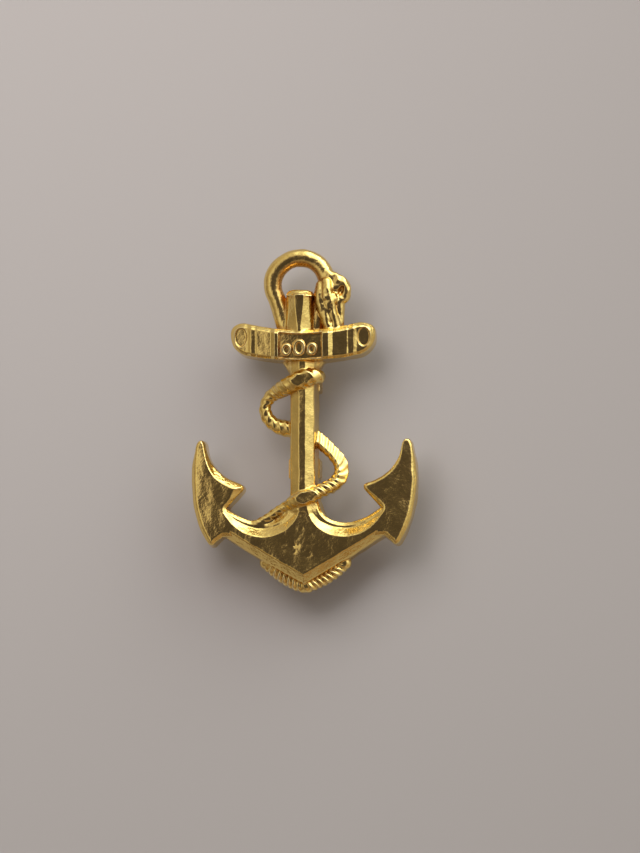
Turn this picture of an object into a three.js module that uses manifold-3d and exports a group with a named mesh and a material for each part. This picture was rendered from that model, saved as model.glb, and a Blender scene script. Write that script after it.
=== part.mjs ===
// A sew-on button in the shape of a fouled anchor: an anchor with its rope wound round it.
// The real button is one gold-plated casting, so each named mesh is one feature of that
// casting, and neighbouring features keep a thin seam between them.
// Millimetres. +X is right, +Y runs up the shank to the ring, +Z comes out of the face.
// Z = 0 is the foot of the two sewing lugs, and X = Y = 0 is the middle of the whole button.
import * as THREE from 'three';
import { mergeVertices } from 'three/addons/utils/BufferGeometryUtils.js';
import Module from 'manifold-3d';

const wasm = await Module();
wasm.setup();

// ---- Driving dimensions ----
const BACK = 2.4;               // flat back of the anchor, above the feet of the lugs
const SEAM = 0.06;              // gap between neighbouring features
const FAR = 40;                 // longer than the button, for cutting blocks

const AXIS_X = -0.1;            // middle of the shank and the stock
const SHANK = {
  bottom: -8.0, top: 5.3,
  backHalf: 1.38, shoulderHalf: 1.12, ridgeHalf: 0.2,
  shoulderZ: 4.5, ridgeZ: 5.1,
};

const HEAD = {
  x: -0.45, bottom: 8.5, top: 12.05, capLength: 0.62, capDrop: 1.0,
  half: 1.33, cheekZ: 4.35, shoulderHalf: 1.12, shoulderZ: 4.65, ridgeHalf: 0.23, ridgeZ: 5.45,
};

const RING = {
  x: -0.42, y: 12.61, z: 3.62, radius: 2.53, tube: 0.83,
  legStart: 0.62,               // radians below the ring's middle where the legs begin
  footHalf: 1.5, footY: 8.75,
};

// The stock is a band between two parabolas, higher at its tips than at its middle.
const STOCK = {
  topY: 8.35, topRise: 0.0265, bottomY: 5.33, bottomRise: 0.021,
  blockHalf: 2.87, bandHalf: 5.3, tipHalf: 6.78, tipY: 7.95, tipRise: 0.55,
  bandZ: 5.2, blockZ: 5.6, chamfer: 0.25,
  panelFloor: 5.3, panelHalf: 2.1, panelMargin: 0.34,
  clearY: 8.65,                 // the ring and the rope falls end here, just above the stock
};
const BAND_PANEL = { near: 3.25, far: 4.7, depth: 0.22, marginTop: 0.5, marginBottom: 0.3 };
const TIP_PANEL = { x: 5.75, y: 7.9, halfX: 0.55, halfY: 0.8, depth: 0.2 };

const BEADS = [
  { name: 'stock_bead_left', x: -1.5, y: 6.42, halfX: 0.42, halfY: 0.5 },
  { name: 'stock_bead_centre', x: -0.32, y: 6.6, halfX: 0.55, halfY: 0.72 },
  { name: 'stock_bead_right', x: 0.86, y: 6.46, halfX: 0.42, halfY: 0.5 },
];
const BEAD_TOP = 5.66;
const BEAD_HOLE = 0.42;         // dimple size as a share of the bead
const BEAD_HOLE_FLOOR = 5.48;
const BEAD_BEVEL = 0.08;

const CROWN = {
  half: 2.2, tipY: -15.35, frontZ: 4.9, ledgeZ: 4.1, plateauInset: 0.55,
  insetRise: 1.2,               // how far the lower edge rises for each mm of inset
  bulge: [4.4, -12.85],         // what the curved lower edge of each arm is drawn towards
};
const FLUKE = { frontZ: 5.05, tilt: 0.15, tiltFrom: 7.2, bevel: 0.2 };
const ROPE = 0.6;               // radius of the rope
const THIN_ROPE = 0.44;         // radius where it is pulled tight at the ring

const LUG = {
  ys: { upper_sewing_lug: 3.7, lower_sewing_lug: -4.4 },
  half: 1.45, length: 1.9, holeRadius: 0.7, holeZ: 1.3, rounding: 0.5,
};

const CURVE_STEPS = 8;
const ROPE_SIDES = 10;
const RING_SIDES = 12;
const RING_STEPS = 40;
const ROPE_STEPS = 3;           // for each span of a rope's route

// ---- Solids ----
function toSolid(geometry) {
  geometry.deleteAttribute('normal');
  geometry.deleteAttribute('uv');
  const merged = mergeVertices(geometry, 1e-5);
  return new wasm.Manifold(new wasm.Mesh({
    numProp: 3,
    vertProperties: new Float32Array(merged.attributes.position.array),
    triVerts: new Uint32Array(merged.index.array),
  }));
}

function toGeometry(solid) {
  const mesh = solid.getMesh();
  const geometry = new THREE.BufferGeometry();
  geometry.setAttribute('position', new THREE.BufferAttribute(mesh.vertProperties, 3));
  geometry.setIndex(new THREE.BufferAttribute(mesh.triVerts, 1));
  geometry.computeVertexNormals();
  return geometry;
}

// A flat piece between two heights, its edges bevelled at both faces.
function plate(shape, zBack, zFront, bevel = 0) {
  const geometry = new THREE.ExtrudeGeometry(shape, {
    depth: zFront - zBack - 2 * bevel,
    bevelEnabled: bevel > 0,
    bevelThickness: bevel,
    bevelSize: bevel,
    bevelOffset: -bevel,
    bevelSegments: 1,
    curveSegments: CURVE_STEPS,
  });
  geometry.translate(0, 0, zBack + bevel);
  return toSolid(geometry);
}

// A bar along Y whose section is a list of [x, z] corners.
function barAlongY(corners, yBottom, yTop) {
  const shape = new THREE.Shape(corners.map(([x, z]) => new THREE.Vector2(x, z)));
  const geometry = new THREE.ExtrudeGeometry(shape, { depth: yTop - yBottom, bevelEnabled: false });
  geometry.rotateX(Math.PI / 2);
  geometry.translate(0, yTop, 0);
  return toSolid(geometry);
}

function block(xLow, xHigh, yLow, yHigh, zLow, zHigh) {
  const geometry = new THREE.BoxGeometry(xHigh - xLow, yHigh - yLow, zHigh - zLow);
  geometry.translate((xLow + xHigh) / 2, (yLow + yHigh) / 2, (zLow + zHigh) / 2);
  return toSolid(geometry);
}

// A round bar of the given radius along a smooth curve through the points.
function tube(points, radius, sides, steps) {
  const curve = new THREE.CatmullRomCurve3(points.map((p) => new THREE.Vector3(...p)));
  const section = new THREE.Shape();
  section.absarc(0, 0, radius, 0, 2 * Math.PI);
  const geometry = new THREE.ExtrudeGeometry(section, {
    steps,
    extrudePath: curve,
    curveSegments: sides / 2,
  });
  return toSolid(geometry);
}

function ellipseShape(x, y, halfX, halfY) {
  const corners = Array.from({ length: 2 * CURVE_STEPS }, (_, i) => {
    const angle = (i / CURVE_STEPS) * Math.PI;
    return new THREE.Vector2(x + halfX * Math.cos(angle), y + halfY * Math.sin(angle));
  });
  return new THREE.Shape(corners);
}

const aboveBack = block(-FAR, FAR, -FAR, FAR, BACK, FAR);
const aboveStock = block(-FAR, FAR, STOCK.clearY, FAR, 0, FAR);

// ---- Shank and head ----
function shankSection(grow) {
  return [
    [AXIS_X - SHANK.backHalf - grow, BACK - grow],
    [AXIS_X + SHANK.backHalf + grow, BACK - grow],
    [AXIS_X + SHANK.shoulderHalf + grow, SHANK.shoulderZ + grow],
    [AXIS_X + SHANK.ridgeHalf, SHANK.ridgeZ + grow],
    [AXIS_X - SHANK.ridgeHalf, SHANK.ridgeZ + grow],
    [AXIS_X - SHANK.shoulderHalf - grow, SHANK.shoulderZ + grow],
  ];
}

function shank(grow = 0) {
  return barAlongY(shankSection(grow), SHANK.bottom + SEAM - grow, SHANK.top - SEAM + grow);
}

function head(grow = 0) {
  const section = [
    [HEAD.x - HEAD.half - grow, BACK - grow],
    [HEAD.x + HEAD.half + grow, BACK - grow],
    [HEAD.x + HEAD.half + grow, HEAD.cheekZ],
    [HEAD.x + HEAD.shoulderHalf + grow, HEAD.shoulderZ],
    [HEAD.x + HEAD.ridgeHalf, HEAD.ridgeZ + grow],
    [HEAD.x - HEAD.ridgeHalf, HEAD.ridgeZ + grow],
    [HEAD.x - HEAD.shoulderHalf - grow, HEAD.shoulderZ],
    [HEAD.x - HEAD.half - grow, HEAD.cheekZ],
  ];
  const bar = barAlongY(section, HEAD.bottom, HEAD.top + grow);
  return bar.subtract(capWedge(grow));
}

// What the sloping cap takes off the front of the head's top end.
function capWedge(grow) {
  const corners = new THREE.Shape([
    new THREE.Vector2(HEAD.top - HEAD.capLength + grow, HEAD.ridgeZ + 2 * grow),
    new THREE.Vector2(HEAD.top + grow, HEAD.ridgeZ - HEAD.capDrop + grow),
    new THREE.Vector2(HEAD.top + FAR, HEAD.ridgeZ - HEAD.capDrop + grow),
    new THREE.Vector2(HEAD.top + FAR, FAR),
    new THREE.Vector2(HEAD.top - HEAD.capLength + grow, FAR),
  ]);
  const geometry = new THREE.ExtrudeGeometry(corners, { depth: 2 * FAR, bevelEnabled: false });
  geometry.translate(0, 0, -FAR);
  geometry.rotateY(Math.PI / 2);
  geometry.rotateX(Math.PI / 2);
  return toSolid(geometry);
}

// ---- Ring ----
function ringPoints() {
  const points = [[RING.x - RING.footHalf, RING.footY, RING.z]];
  const steps = 12;
  for (let i = 0; i <= steps; i++) {
    const angle = Math.PI + RING.legStart - (i / steps) * (Math.PI + 2 * RING.legStart);
    points.push([
      RING.x + RING.radius * Math.cos(angle),
      RING.y + RING.radius * Math.sin(angle),
      RING.z,
    ]);
  }
  points.push([RING.x + RING.footHalf, RING.footY, RING.z]);
  return points;
}

function ring(grow = 0) {
  return tube(ringPoints(), RING.tube + grow, RING_SIDES, RING_STEPS);
}

// ---- Stock ----
function parabola(low, rise) {
  return (x) => low + rise * (x - AXIS_X) ** 2;
}

// Adds the stretch of a parabola from x = a to x = b as one exact quadratic curve.
function parabolaTo(shape, low, rise, a, b) {
  const control = low + rise * (a - AXIS_X) * (b - AXIS_X);
  shape.quadraticCurveTo((a + b) / 2, control, b, parabola(low, rise)(b));
}

function bandShape(xLow, xHigh, marginTop = 0, marginBottom = 0) {
  const low = STOCK.bottomY + marginBottom;
  const high = STOCK.topY - marginTop;
  const shape = new THREE.Shape();
  shape.moveTo(xLow, parabola(low, STOCK.bottomRise)(xLow));
  parabolaTo(shape, low, STOCK.bottomRise, xLow, xHigh);
  shape.lineTo(xHigh, parabola(high, STOCK.topRise)(xHigh));
  parabolaTo(shape, high, STOCK.topRise, xHigh, xLow);
  return shape;
}

function stockBlock() {
  const half = STOCK.blockHalf - SEAM / 2;
  const body = plate(bandShape(AXIS_X - half, AXIS_X + half), BACK, STOCK.blockZ, STOCK.chamfer);
  const panel = bandShape(
    AXIS_X - STOCK.panelHalf,
    AXIS_X + STOCK.panelHalf,
    STOCK.panelMargin + STOCK.chamfer,
    STOCK.panelMargin,
  );
  return body.subtract(plate(panel, STOCK.panelFloor, FAR));
}

function stockArm(side) {
  const near = AXIS_X + side * (STOCK.blockHalf + SEAM / 2);
  const far = AXIS_X + side * STOCK.bandHalf;
  const tipX = AXIS_X + side * STOCK.tipHalf;
  const bottom = parabola(STOCK.bottomY, STOCK.bottomRise);
  const top = parabola(STOCK.topY, STOCK.topRise);
  const shape = new THREE.Shape();
  shape.moveTo(near, bottom(near));
  parabolaTo(shape, STOCK.bottomY, STOCK.bottomRise, near, far);
  shape.quadraticCurveTo(tipX, bottom(far) + STOCK.tipRise, tipX, STOCK.tipY);
  shape.quadraticCurveTo(tipX, top(far), far, top(far));
  parabolaTo(shape, STOCK.topY, STOCK.topRise, far, near);
  const body = plate(shape, BACK, STOCK.bandZ, STOCK.chamfer);
  const ends = [AXIS_X + side * BAND_PANEL.near, AXIS_X + side * BAND_PANEL.far];
  const panel = bandShape(
    Math.min(...ends),
    Math.max(...ends),
    BAND_PANEL.marginTop,
    BAND_PANEL.marginBottom,
  );
  const leaf = ellipseShape(
    AXIS_X + side * TIP_PANEL.x,
    TIP_PANEL.y,
    TIP_PANEL.halfX,
    TIP_PANEL.halfY,
  );
  return body
    .subtract(plate(panel, STOCK.bandZ - BAND_PANEL.depth, FAR))
    .subtract(plate(leaf, STOCK.bandZ - TIP_PANEL.depth, FAR));
}

function bead({ x, y, halfX, halfY }) {
  const body = plate(ellipseShape(x, y, halfX, halfY), STOCK.panelFloor + SEAM, BEAD_TOP, BEAD_BEVEL);
  const dimple = ellipseShape(x, y, halfX * BEAD_HOLE, halfY * BEAD_HOLE);
  return body.subtract(plate(dimple, BEAD_HOLE_FLOOR, FAR));
}

// ---- Crown and arms ----
// The hollow upper side of the right arm, as the four points of a cubic curve: the arm's
// edge, and the crease where its raised face begins.
const ARM_EDGE = [[1.6, -7.9], [1.9, -9.6], [4.4, -10.1], [7.0, -8.15]];
const ARM_CREASE = [[0.33, -8.2], [0.75, -11.0], [5.0, -12.1], [7.08, -9.1]];

// The straight joint between the arm and its fluke, and its X at a given Y.
const ARM_END = { topX: 7.0, topY: -8.15, bottomX: 7.42, bottomY: -10.85 };

function armEndX(y) {
  const share = (ARM_END.topY - y) / (ARM_END.topY - ARM_END.bottomY);
  return ARM_END.topX + share * (ARM_END.bottomX - ARM_END.topX);
}

// The curve at a share of the way from the edge to the crease.
function armTop(side, share) {
  return ARM_EDGE.map(([x, y], i) => {
    const [creaseX, creaseY] = ARM_CREASE[i];
    return [side * (x + share * (creaseX - x)), y + share * (creaseY - y)];
  });
}

// Half of the crown and its arm in one outline; the crown and the arm are cut from it.
function armOutline(side, share, bottomInset) {
  const [start, ...rest] = armTop(side, share);
  const rise = CROWN.insetRise * bottomInset;
  const [bulgeX, bulgeY] = CROWN.bulge;
  const shape = new THREE.Shape();
  shape.moveTo(0, CROWN.tipY + rise);
  shape.lineTo(0, SHANK.bottom);
  shape.lineTo(start[0], SHANK.bottom);
  shape.lineTo(...start);
  shape.bezierCurveTo(...rest.flat());
  shape.lineTo(side * armEndX(ARM_END.bottomY + rise), ARM_END.bottomY + rise);
  shape.quadraticCurveTo(side * bulgeX, bulgeY + rise, 0, CROWN.tipY + rise);
  return shape;
}

function crownAndArms(side, grow = 0) {
  const ledge = plate(armOutline(side, -grow, -grow), BACK - grow, CROWN.ledgeZ + grow);
  const plateau = plate(
    armOutline(side, 1 - grow, CROWN.plateauInset - grow),
    BACK - grow,
    CROWN.frontZ + grow,
  );
  return ledge.add(plateau);
}

function crown() {
  const whole = crownAndArms(-1).add(crownAndArms(1));
  const half = CROWN.half - SEAM / 2;
  return whole.intersect(block(-half, half, -FAR, SHANK.bottom - SEAM, 0, FAR));
}

function arm(side) {
  const near = side * (CROWN.half + SEAM / 2);
  const far = side * FAR;
  const cell = block(Math.min(near, far), Math.max(near, far), -FAR, FAR, 0, FAR);
  return crownAndArms(side).intersect(cell);
}

// ---- Flukes ----
function flukeShape(side) {
  const shape = new THREE.Shape();
  const at = (x, y) => [side * x, y];
  shape.moveTo(...at(ARM_END.topX + SEAM, ARM_END.topY));
  shape.lineTo(...at(5.6, -6.45));
  shape.quadraticCurveTo(...at(5.55, -6.05), ...at(6.0, -5.9));
  shape.bezierCurveTo(...at(7.7, -5.4), ...at(8.9, -4.1), ...at(9.1, -2.5));
  shape.quadraticCurveTo(...at(9.25, -1.75), ...at(9.6, -1.8));
  shape.quadraticCurveTo(...at(9.95, -1.85), ...at(10.15, -2.7));
  shape.bezierCurveTo(...at(10.9, -5.6), ...at(10.4, -9.2), ...at(8.95, -11.45));
  shape.quadraticCurveTo(...at(8.45, -11.9), ...at(8.1, -11.35));
  shape.lineTo(...at(ARM_END.bottomX + SEAM, ARM_END.bottomY));
  return shape;
}

// The palm falls away towards the outer edge, on a plane tilted about Y.
function fluke(side) {
  const body = plate(flukeShape(side), BACK, FLUKE.frontZ, FLUKE.bevel);
  const drop = FLUKE.tilt * (FAR - FLUKE.tiltFrom);
  const above = barAlongY([
    [side * FLUKE.tiltFrom, FLUKE.frontZ],
    [side * FAR, FLUKE.frontZ - drop],
    [side * FAR, FAR],
    [side * FLUKE.tiltFrom, FAR],
  ], -FAR, FAR);
  return body.subtract(above);
}

// ---- Rope ----
// The rope is hitched to the right side of the ring, falls behind the stock, goes once round
// the shank to the left and once to the right, and ends in a turn under the crown.
const ROPE_ROUTES = {
  rope_knot: [
    [2.55, 13.3, 4.1], [3.15, 13.05, 4.15], [3.75, 12.75, 4.1], [3.92, 12.1, 4.05],
    [3.7, 11.45, 4.05], [3.1, 11.2, 4.25], [2.6, 11.45, 4.7],
  ],
  rope_fall_inner: [
    [0.95, 12.0, 4.75], [1.1, 11.0, 4.8], [1.3, 9.8, 4.75], [1.5, 8.55, 4.6],
  ],
  rope_fall_middle: [
    [1.5, 12.6, 4.6], [1.98, 11.4, 4.75], [2.28, 10.2, 4.5], [2.45, 8.55, 4.3],
  ],
  rope_fall_outer: [
    [3.05, 10.75, 4.0], [3.1, 10.1, 3.9], [3.12, 9.4, 3.8], [3.1, 8.55, 3.7],
  ],
  rope_upper_turn: [
    [1.2, 3.9, 3.6], [1.35, 4.05, 4.3], [1.05, 4.2, 5.0], [0.3, 4.15, 5.4], [-0.6, 3.85, 5.35],
    [-1.5, 3.45, 4.7], [-2.4, 3.0, 3.8], [-3.2, 2.4, 3.5], [-3.68, 1.45, 3.4], [-3.5, 0.5, 3.35],
    [-2.85, -0.3, 3.3], [-2.1, -0.75, 3.3], [-1.0, -1.0, 3.3],
  ],
  rope_lower_turn: [
    [1.0, -1.4, 3.4], [1.75, -2.1, 3.4], [2.65, -2.95, 3.4], [3.3, -3.95, 3.4], [3.35, -5.0, 3.45],
    [2.8, -5.85, 3.7], [1.9, -6.5, 4.4], [0.9, -7.0, 5.1], [-0.1, -7.35, 5.3], [-1.1, -7.65, 4.95],
  ],
  rope_tail: [
    [-1.4, -7.78, 4.7], [-2.2, -8.05, 4.35], [-3.0, -8.45, 4.1], [-3.8, -8.9, 4.0], [-4.6, -9.4, 4.0],
  ],
  rope_crown_turn: [
    [-3.6, -13.3, 3.35], [-2.5, -14.15, 3.35], [-1.3, -14.95, 3.35], [0.0, -15.4, 3.35],
    [1.3, -15.0, 3.35], [2.6, -14.3, 3.35], [3.7, -13.4, 3.35],
  ],
};

function rope(name, radius, grow = 0) {
  const route = ROPE_ROUTES[name];
  const bar = tube(route, radius + grow, ROPE_SIDES, ROPE_STEPS * (route.length - 1));
  return bar.intersect(aboveBack);
}

// Takes each rope's neighbours off it, and leaves a seam to them.
function ropeFall() {
  const grownHead = head(SEAM);
  const grownRing = ring(SEAM);
  const done = {};
  const order = ['rope_knot', 'rope_fall_inner', 'rope_fall_middle', 'rope_fall_outer'];
  order.forEach((name, i) => {
    const neighbours = order.slice(0, i).map((other) => rope(other, THIN_ROPE, SEAM));
    done[name] = [grownHead, grownRing, ...neighbours].reduce(
      (solid, neighbour) => solid.subtract(neighbour),
      rope(name, THIN_ROPE).intersect(aboveStock),
    );
  });
  return done;
}

function ropeBelowStock() {
  const grownShank = shank(SEAM);
  const grownArms = crownAndArms(-1, SEAM).add(crownAndArms(1, SEAM));
  const belowStock = block(-FAR, FAR, -FAR, STOCK.bottomY - SEAM, 0, FAR);
  const lowerTurn = rope('rope_lower_turn', ROPE, SEAM);
  return {
    rope_upper_turn: rope('rope_upper_turn', ROPE).subtract(grownShank).intersect(belowStock),
    rope_lower_turn: rope('rope_lower_turn', ROPE).subtract(grownShank).subtract(grownArms),
    rope_tail: rope('rope_tail', ROPE).subtract(lowerTurn).subtract(grownShank).subtract(grownArms),
    rope_crown_turn: rope('rope_crown_turn', ROPE).subtract(grownArms),
  };
}

// ---- Sewing lugs ----
function lug(y) {
  const shape = new THREE.Shape();
  shape.moveTo(AXIS_X - LUG.half, BACK - SEAM);
  shape.lineTo(AXIS_X - LUG.half, LUG.rounding);
  shape.quadraticCurveTo(AXIS_X - LUG.half, 0, AXIS_X - LUG.half + LUG.rounding, 0);
  shape.lineTo(AXIS_X + LUG.half - LUG.rounding, 0);
  shape.quadraticCurveTo(AXIS_X + LUG.half, 0, AXIS_X + LUG.half, LUG.rounding);
  shape.lineTo(AXIS_X + LUG.half, BACK - SEAM);
  shape.holes.push(ellipseShape(AXIS_X, LUG.holeZ, LUG.holeRadius, LUG.holeRadius));
  const geometry = new THREE.ExtrudeGeometry(shape, {
    depth: LUG.length,
    bevelEnabled: false,
    curveSegments: CURVE_STEPS,
  });
  geometry.rotateX(Math.PI / 2);
  geometry.translate(0, y + LUG.length / 2, 0);
  return toSolid(geometry);
}

// ---- Assembly ----
const gold = { color: 0xc9a24a, roughness: 0.28, metalness: 1.0 };
const recessedGold = { color: 0xa98238, roughness: 0.34, metalness: 1.0 };
const ropeGold = { color: 0xd2ab52, roughness: 0.32, metalness: 1.0 };
const lugGold = { color: 0xb8924a, roughness: 0.4, metalness: 1.0 };

const button = new THREE.Group();

function place(name, solid, finish) {
  const mesh = new THREE.Mesh(toGeometry(solid), new THREE.MeshStandardMaterial(finish));
  mesh.name = name;
  button.add(mesh);
}

const ringSolid = ring().subtract(head(SEAM)).intersect(aboveStock);

place('shank', shank(), gold);
place('shank_head', head(), gold);
place('anchor_ring', ringSolid, gold);
place('stock_centre_block', stockBlock(), recessedGold);
place('stock_left_arm', stockArm(-1), gold);
place('stock_right_arm', stockArm(1), gold);
BEADS.forEach((spec) => place(spec.name, bead(spec), ropeGold));
place('crown', crown(), gold);
place('left_arm', arm(-1), gold);
place('right_arm', arm(1), gold);
place('left_fluke', fluke(-1), gold);
place('right_fluke', fluke(1), gold);
Object.entries(ropeFall()).forEach(([name, solid]) => place(name, solid, ropeGold));
Object.entries(ropeBelowStock()).forEach(([name, solid]) => place(name, solid, ropeGold));
Object.entries(LUG.ys).forEach(([name, y]) => place(name, lug(y), lugGold));

export default button;
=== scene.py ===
"""A sew-on button in the shape of a fouled anchor, one gold-plated casting.

The casting is sculpted as one smooth distance field in millimetres, from the same driving
dimensions as the CAD, and cut into one closed mesh for each CAD node.
"""

import math
from types import SimpleNamespace as Dims

import bpy
import numpy as np
from mathutils import Matrix, Vector


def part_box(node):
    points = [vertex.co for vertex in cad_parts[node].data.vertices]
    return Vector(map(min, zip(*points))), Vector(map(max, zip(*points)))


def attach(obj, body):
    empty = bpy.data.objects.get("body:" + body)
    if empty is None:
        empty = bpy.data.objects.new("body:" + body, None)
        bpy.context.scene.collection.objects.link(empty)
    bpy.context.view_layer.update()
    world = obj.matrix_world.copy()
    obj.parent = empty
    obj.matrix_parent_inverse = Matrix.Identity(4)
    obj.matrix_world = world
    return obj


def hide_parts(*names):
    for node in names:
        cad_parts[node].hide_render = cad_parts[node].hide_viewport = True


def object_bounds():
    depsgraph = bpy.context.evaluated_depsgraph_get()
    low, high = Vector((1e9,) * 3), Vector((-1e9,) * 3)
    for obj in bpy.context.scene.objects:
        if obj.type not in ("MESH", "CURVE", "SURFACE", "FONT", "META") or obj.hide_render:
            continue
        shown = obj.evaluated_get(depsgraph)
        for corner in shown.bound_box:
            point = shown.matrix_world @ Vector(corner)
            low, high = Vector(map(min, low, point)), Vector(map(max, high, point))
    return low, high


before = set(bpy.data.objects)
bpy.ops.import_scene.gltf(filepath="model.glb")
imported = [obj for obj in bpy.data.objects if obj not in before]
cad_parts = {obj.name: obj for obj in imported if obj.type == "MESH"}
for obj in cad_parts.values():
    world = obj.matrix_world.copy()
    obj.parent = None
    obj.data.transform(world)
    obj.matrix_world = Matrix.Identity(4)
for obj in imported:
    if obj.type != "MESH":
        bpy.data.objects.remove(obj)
cad_low, cad_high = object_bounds()
MM = 0.001

# ---- Camera ----
VIEW_RIGHT_DEG = 6.0            # how far the view comes round to the right of straight above
VIEW_BELOW_DEG = 5.0            # and how far towards the crown
FRAME_WIDTH = 59.2              # mm across the picture at the button
VIEW_DISTANCE = 800.0
SENSOR_WIDTH = 36.0
MID_HEIGHT = 3.7                # the height that the view turns about
AIM_RIGHT = 1.44                # from the middle of the button to the middle of the picture
AIM_DOWN = 0.55


def make_camera():
    turn = math.radians(VIEW_RIGHT_DEG)
    tip = math.radians(VIEW_BELOW_DEG)
    out = Vector((math.sin(turn) * math.cos(tip), -math.sin(tip), math.cos(turn) * math.cos(tip)))
    right = Vector((math.cos(turn), 0.0, -math.sin(turn)))
    up = out.cross(right)
    middle = (cad_low + cad_high) / 2 / MM
    middle.z = MID_HEIGHT
    target = middle + AIM_RIGHT * right - AIM_DOWN * up
    data = bpy.data.cameras.new("camera")
    data.sensor_fit = "HORIZONTAL"
    data.sensor_width = SENSOR_WIDTH
    data.lens = data.sensor_width * VIEW_DISTANCE / FRAME_WIDTH
    data.clip_start = 0.001
    data.clip_end = 10.0
    camera = bpy.data.objects.new("camera", data)
    turned = Matrix((right, up, out)).transposed()
    camera.matrix_world = Matrix.Translation((target + VIEW_DISTANCE * out) * MM) @ turned.to_4x4()
    bpy.context.scene.collection.objects.link(camera)
    bpy.context.scene.camera = camera


make_camera()

# ---- The grid that the casting is sculpted on ----
STEP = 0.06
REACH = 0.9                     # how far round each feature its field is worked out
MARGIN = 0.4                    # how far the grid goes past the CAD box
FAR = 40.0                      # stands for any distance off the grid

grid_low = np.array(cad_low) / MM - MARGIN
grid_high = np.array(cad_high) / MM + MARGIN
counts = np.ceil((grid_high - grid_low) / STEP).astype(int) + 1
axes = [(grid_low[i] + STEP * np.arange(counts[i])).astype(np.float32) for i in range(3)]
field = np.full(counts, FAR, np.float32)
nearest = np.full(counts, FAR, np.float32)
owner = np.zeros(counts, np.int8)
NAMES = sorted(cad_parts)
NUMBER = {name: i + 1 for i, name in enumerate(NAMES)}


def smin(a, b, k):
    """The smaller of two fields, with a fillet of about size k where they cross."""
    h = np.maximum(k - np.abs(a - b), 0) / k
    return np.minimum(a, b) - h * h * (k / 4)


def smax(a, b, k):
    return -smin(-a, -b, k)


def ramp(value, start, end):
    """Rises smoothly from 0 at start to 1 at end."""
    t = np.clip((value - start) / (end - start), 0, 1)
    return t * t * (3 - 2 * t)


def slanted(lean, across, up):
    """A plane that falls outwards. The lean is its two slopes and their length."""
    run, rise, length = lean
    return (run * across + rise * up) / length


def window(*nodes, low=None, high=None):
    """The part of the grid round some CAD nodes: its slices and its x, y and z."""
    if nodes:
        boxes = [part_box(n) for n in nodes]
        low = np.min([np.array(b[0]) for b in boxes], axis=0) / MM
        high = np.max([np.array(b[1]) for b in boxes], axis=0) / MM
    start = np.floor((np.array(low) - REACH - grid_low) / STEP).astype(int).clip(0, counts)
    end = np.ceil((np.array(high) + REACH - grid_low) / STEP).astype(int).clip(0, counts) + 1
    cuts = tuple(slice(a, b) for a, b in zip(start, end))
    x, y, z = (axes[i][cuts[i]] for i in range(3))
    return cuts, x[:, None, None], y[None, :, None], z[None, None, :]


def join(cuts, shape, number, blend):
    """Adds a feature to the casting, with a fillet, and says which piece it belongs to."""
    shape = np.broadcast_to(shape, field[cuts].shape).astype(np.float32)
    field[cuts] = smin(field[cuts], shape, blend)
    closer = shape < nearest[cuts]
    np.copyto(nearest[cuts], shape, where=closer)
    np.copyto(owner[cuts], np.broadcast_to(number, shape.shape).astype(np.int8), where=closer)


# ---- Outlines ----
def bezier(points, steps=24):
    points = np.array(points, float)
    t = np.linspace(0, 1, steps + 1)[:, None]
    n = len(points) - 1
    return sum(
        math.comb(n, i) * t**i * (1 - t) ** (n - i) * points[i] for i in range(n + 1)
    )


def outline_distance(points, x, y):
    """Distance to a closed outline, negative inside it."""
    x, y = np.broadcast_arrays(x, y)
    best = np.full(x.shape, 1e9)
    inside = np.zeros(x.shape, bool)
    points = np.array(points, float)
    for (ax, ay), (bx, by) in zip(points, np.roll(points, -1, axis=0)):
        ex, ey = bx - ax, by - ay
        length = ex * ex + ey * ey
        if length < 1e-12:
            continue
        px, py = x - ax, y - ay
        t = np.clip((px * ex + py * ey) / length, 0, 1)
        best = np.minimum(best, (px - ex * t) ** 2 + (py - ey * t) ** 2)
        if ey:
            inside ^= ((ay > y) != (by > y)) & (px < py * ex / ey)
    distance = np.sqrt(best)
    return np.where(inside, -distance, distance)


def mirrored(points):
    points = np.array(points, float)
    return np.vstack([points[::-1] * (-1, 1), points])


def ellipse_distance(x, y, half_x, half_y):
    """Roughly the distance to an ellipse round the origin."""
    k = np.sqrt((x / half_x) ** 2 + (y / half_y) ** 2)
    slope = np.sqrt((x / half_x**2) ** 2 + (y / half_y**2) ** 2)
    return k * (k - 1) / np.maximum(slope, 1e-6)


# ---- Heights shared by the whole casting ----
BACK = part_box("shank")[0].z / MM
AXIS_X = (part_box("shank")[0].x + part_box("shank")[1].x) / 2 / MM
EDGE = 0.05                     # how much the sharpest edges are rounded
SOFT = 0.1                      # and the edges of the arms and flukes


def flat_back(shape, z, rounding=0.16):
    return smax(shape, BACK - z, rounding)


# ---- Crown, arms and flukes ----
ARM_EDGE = [(1.6, -7.9), (1.9, -9.6), (4.4, -10.1), (7.0, -8.15)]
ARM_CREASE = [(0.33, -8.2), (0.75, -11.0), (5.0, -12.1), (7.08, -9.1)]
LOWER_EDGE = [(0.0, -15.35), (4.4, -12.85), (7.42, -10.85)]
FLUKE_LINES = [
    [(7.06, -8.15), (5.62, -6.55)],
    [(5.62, -6.55), (5.32, -6.02), (5.95, -5.8)],
    [(5.95, -5.8), (7.6, -5.3), (8.8, -4.1), (9.02, -2.5)],
    [(9.02, -2.5), (9.1, -1.68), (9.6, -1.72)],
    [(9.6, -1.72), (10.05, -1.76), (10.18, -2.7)],
    [(10.18, -2.7), (10.9, -5.6), (10.4, -9.2), (8.95, -11.45)],
    [(8.95, -11.45), (8.45, -11.9), (8.1, -11.35)],
    [(8.1, -11.35), (7.48, -10.85)],
]
UNDER_ARM = [(7.48, -10.85), (6.6, -10.9), (6.3, -10.0), (6.9, -9.2)]
FLUKE_MIDDLE = ([-11.0, -7.0, -2.0], [7.4, 8.2, 9.5])   # y and x of the middle of a palm

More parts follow.
